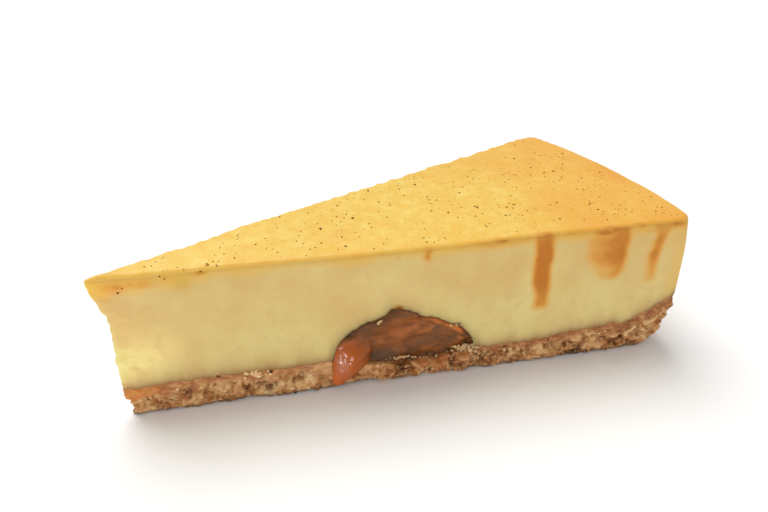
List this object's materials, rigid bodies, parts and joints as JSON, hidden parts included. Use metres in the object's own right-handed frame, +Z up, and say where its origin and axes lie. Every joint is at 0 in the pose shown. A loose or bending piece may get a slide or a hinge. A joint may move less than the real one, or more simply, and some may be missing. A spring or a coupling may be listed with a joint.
{
  "type": "baked cheesecake slice",
  "caption": "Wedge of baked cheesecake on a crumbly biscuit base, with soft caramel in a hollow of the filling and a golden glaze dripping down the cut.",
  "frame": {"origin": "middle of the slice's bounding box in plan, at the flat underside of the biscuit base", "axes": "+X from the slice's point to its outer rim, along the line halfway between the two cuts; +Z up; the cut with the drips faces -Y"},
  "size_m": [0.1246, 0.058, 0.0337],
  "materials": {
    "biscuit": "dry pressed biscuit crumb, matt and rough",
    "cream_filling": "baked cream filling, smooth and dull, light shines through it",
    "caramel": "soft set caramel, wet and glossy",
    "golden_glaze": "thin golden glaze with vanilla specks, satin to glossy"
  },
  "bodies": {
    "root": {"biscuit_base": "biscuit", "filling": "cream_filling", "caramel": "caramel", "glaze": "golden_glaze"}
  },
  "joints": []
}
